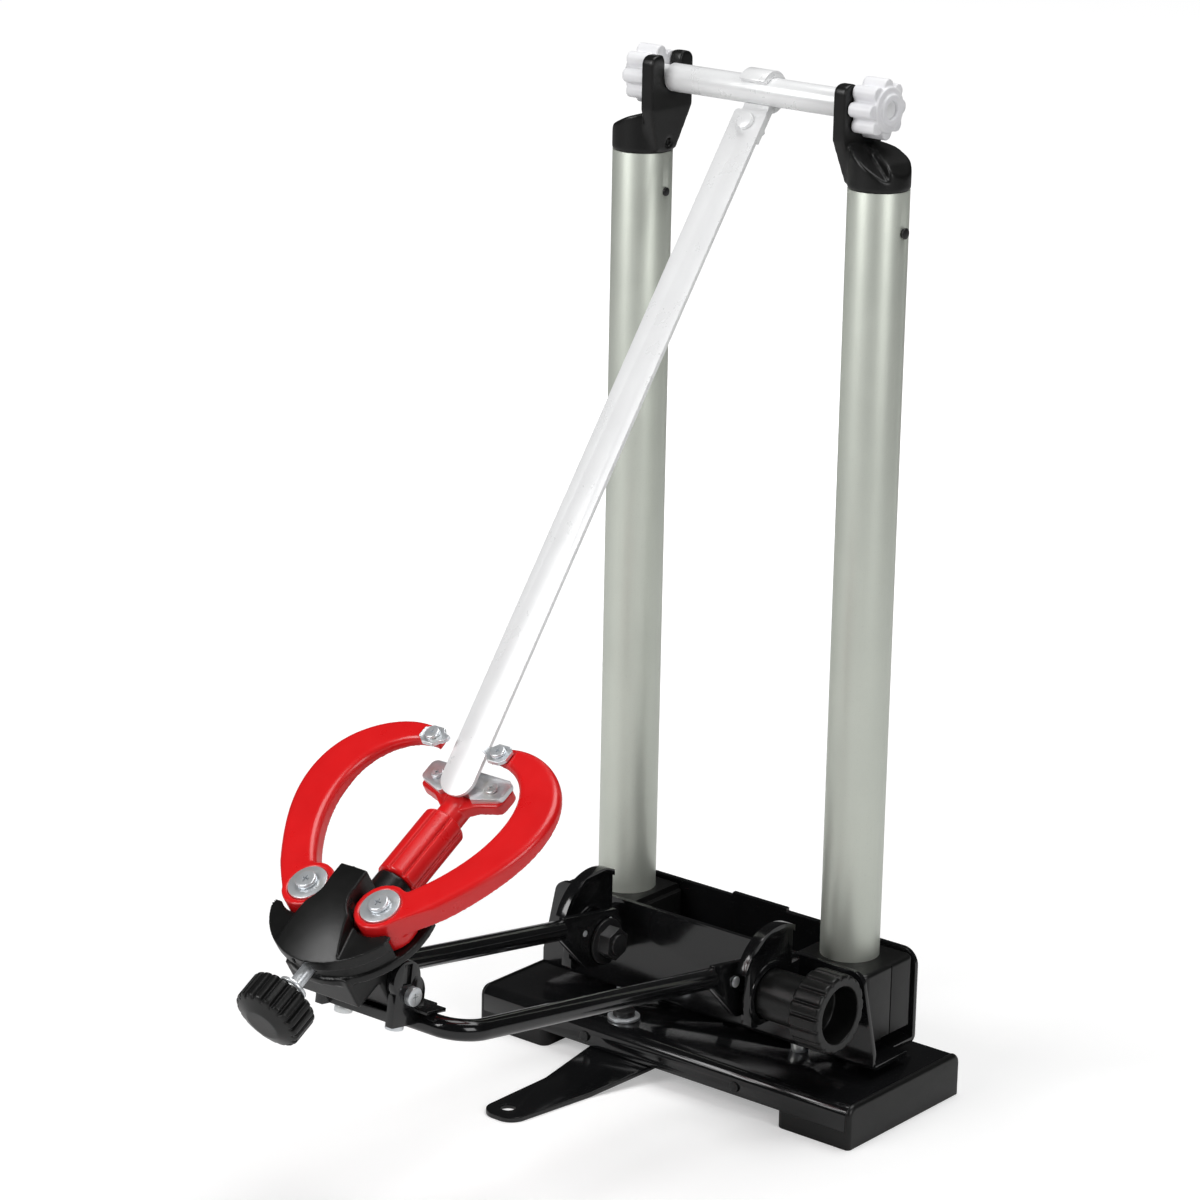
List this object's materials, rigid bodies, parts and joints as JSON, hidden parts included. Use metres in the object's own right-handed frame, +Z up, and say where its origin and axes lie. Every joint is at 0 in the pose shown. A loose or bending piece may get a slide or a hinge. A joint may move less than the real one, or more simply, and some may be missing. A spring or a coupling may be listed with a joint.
{
  "type": "bicycle wheel truing stand",
  "caption": "Bench stand for truing spoked bicycle wheels: sliding pillars with open hub slots, a swing frame with a self-centring rim caliper, a radial gauge and a centring blade.",
  "frame": {"origin": "on the bench surface, under the middle of the object's bounding box", "axes": "+X along the hub axle towards the lateral adjusting knob, +Y from the caliper back to the pillars, +Z up"},
  "size_m": [0.2192, 0.356, 0.4729],
  "materials": {
    "gloss_black": "gloss black powder coat",
    "black_plastic": "fine satin grain",
    "red_plastic": "smooth moulded red",
    "zinc_steel": "zinc plated",
    "tube_aluminium": "satin anodised",
    "black_steel": "black oxide",
    "pale_metal": "pale bright finish",
    "pale_plastic": "pale moulded"
  },
  "bodies": {
    "base": {"base_channel": "gloss_black", "end_cap_left": "black_plastic", "end_cap_right": "black_plastic", "lip_rivets": "black_steel", "tray_channel": "gloss_black", "tray_spacers": "zinc_steel", "tray_bolts": "black_steel", "tray_nuts": "zinc_steel", "pivot_ear_left": "gloss_black", "pivot_ear_right": "gloss_black", "leg_bolt": "black_steel", "leg_spacers": "zinc_steel", "pinion_stud": "zinc_steel"},
    "support_leg": {"support_leg": "gloss_black"},
    "pinion": {"pinion": "black_plastic"},
    "pillar_right": {"pillar_block_right": "black_plastic", "pillar_tube_right": "tube_aluminium", "pillar_cap_right": "black_plastic", "cap_pin_right": "black_steel", "rack_right": "black_plastic"},
    "pillar_left": {"pillar_block_left": "black_plastic", "pillar_tube_left": "tube_aluminium", "pillar_cap_left": "black_plastic", "cap_pin_left": "black_steel", "rack_left": "black_plastic"},
    "star_right": {"star_knob_right": "pale_plastic"},
    "star_left": {"star_knob_left": "pale_plastic"},
    "gauge": {"gauge_axle": "pale_metal", "gauge_rod": "pale_metal", "gauge_bar": "pale_metal", "gauge_clamp": "pale_metal", "gauge_fasteners": "pale_metal"},
    "lateral_knob": {"barrel_knob": "black_plastic"},
    "carriage": {"pivot_shaft": "black_steel", "shaft_nuts": "black_steel"},
    "swing_frame": {"swing_rod": "gloss_black", "arm_plate_left": "gloss_black", "arm_plate_right": "gloss_black", "plate_rivets": "zinc_steel", "head_bracket": "gloss_black", "bracket_bolts": "zinc_steel", "tilt_fasteners": "zinc_steel"},
    "head": {"head_base": "black_plastic", "head_hood": "black_plastic", "arm_washers": "zinc_steel", "arm_screws": "zinc_steel"},
    "arm_right": {"caliper_arm_right": "red_plastic", "caliper_tip_right": "zinc_steel", "tip_screw_right": "zinc_steel"},
    "arm_left": {"caliper_arm_left": "red_plastic", "caliper_tip_left": "zinc_steel", "tip_screw_left": "zinc_steel"},
    "shuttle": {"shuttle": "black_plastic"},
    "thumb": {"thumb_knob": "black_plastic", "thumb_screw": "zinc_steel", "thumb_nut": "zinc_steel"},
    "sleeve": {"radial_sleeve": "red_plastic"},
    "radial_gauge": {"radial_body": "red_plastic", "radial_plate": "zinc_steel", "radial_screws": "zinc_steel"}
  },
  "joints": [
    {"name": "leg_swing", "type": "hinge", "parent": "base", "child": "support_leg", "pos_m": [-0.033, 0.10615, 0.00685], "axis": [0, 0, 1], "range_deg": [-25, 90]},
    {"name": "pillar_right_slide", "type": "slide", "parent": "base", "child": "pillar_right", "axis": [1, 0, 0], "range_m": [0, 0.018]},
    {"name": "pillar_left_slide", "type": "slide", "parent": "base", "child": "pillar_left", "axis": [-1, 0, 0], "range_m": [0, 0.018]},
    {"name": "pinion_turn", "type": "hinge", "parent": "base", "child": "pinion", "pos_m": [0, 0.14615, 0.0305], "axis": [0, 0, 1], "range_deg": [0, 147.4]},
    {"name": "star_right_turn", "type": "hinge", "parent": "pillar_right", "child": "star_right", "pos_m": [0.064, 0.14835, 0.4594], "axis": [1, 0, 0], "continuous": true},
    {"name": "star_left_turn", "type": "hinge", "parent": "pillar_left", "child": "star_left", "pos_m": [-0.064, 0.14835, 0.4594], "axis": [1, 0, 0], "continuous": true},
    {"name": "gauge_swing", "type": "hinge", "parent": "base", "child": "gauge", "pos_m": [0, 0.14835, 0.4594], "axis": [-1, 0, 0], "range_deg": [0, 120]},
    {"name": "lateral_turn", "type": "hinge", "parent": "base", "child": "lateral_knob", "pos_m": [0.074, 0.10265, 0.058], "axis": [1, 0, 0], "range_deg": [-603, 603]},
    {"name": "lateral_shift", "type": "slide", "parent": "base", "child": "carriage", "axis": [1, 0, 0], "range_m": [-0.0025, 0.0025]},
    {"name": "arm_swing", "type": "hinge", "parent": "carriage", "child": "swing_frame", "pos_m": [0, 0.10265, 0.058], "axis": [1, 0, 0], "range_deg": [0, 20]},
    {"name": "head_tilt", "type": "hinge", "parent": "swing_frame", "child": "head", "pos_m": [0, -0.10632, 0.11198], "axis": [-1, 0, 0], "range_deg": [0, 15]},
    {"name": "arm_right_close", "type": "hinge", "parent": "head", "child": "arm_right", "pos_m": [0.0204, -0.11995, 0.15042], "axis": [0, -0.5126, 0.8586], "range_deg": [-18.8, 1.3]},
    {"name": "arm_left_close", "type": "hinge", "parent": "head", "child": "arm_left", "pos_m": [-0.0204, -0.11995, 0.15042], "axis": [0, -0.5126, 0.8586], "range_deg": [-1.3, 18.8]},
    {"name": "shuttle_slide", "type": "slide", "parent": "head", "child": "shuttle", "axis": [0, 0.8586, 0.5126], "range_m": [-0.00026, 0.00393]},
    {"name": "thumb_turn", "type": "hinge", "parent": "shuttle", "child": "thumb", "pos_m": [0, -0.15173, 0.12562], "axis": [0, 0.8586, 0.5126], "range_deg": [-60, 940]},
    {"name": "sleeve_turn", "type": "hinge", "parent": "head", "child": "sleeve", "pos_m": [0, -0.07439, 0.1619], "axis": [0, 0.8586, 0.5126], "range_deg": [-480, 1440]},
    {"name": "radial_slide", "type": "slide", "parent": "head", "child": "radial_gauge", "axis": [0, 0.8586, 0.5126], "range_m": [-0.0021, 0.0061]}
  ],
  "couplings": [
    {"joint": "pillar_left_slide", "follows": "pillar_right_slide", "ratio": 1},
    {"joint": "pinion_turn", "follows": "pillar_right_slide", "rad_per_m": 142.86},
    {"joint": "lateral_turn", "follows": "lateral_shift", "rad_per_m": 4188.8},
    {"joint": "arm_right_close", "follows": "thumb_turn", "ratio": -0.0199},
    {"joint": "arm_left_close", "follows": "thumb_turn", "ratio": 0.0199},
    {"joint": "shuttle_slide", "follows": "thumb_turn", "m_per_rad": 0.00023873},
    {"joint": "radial_slide", "follows": "sleeve_turn", "m_per_rad": 0.00023873}
  ]
}
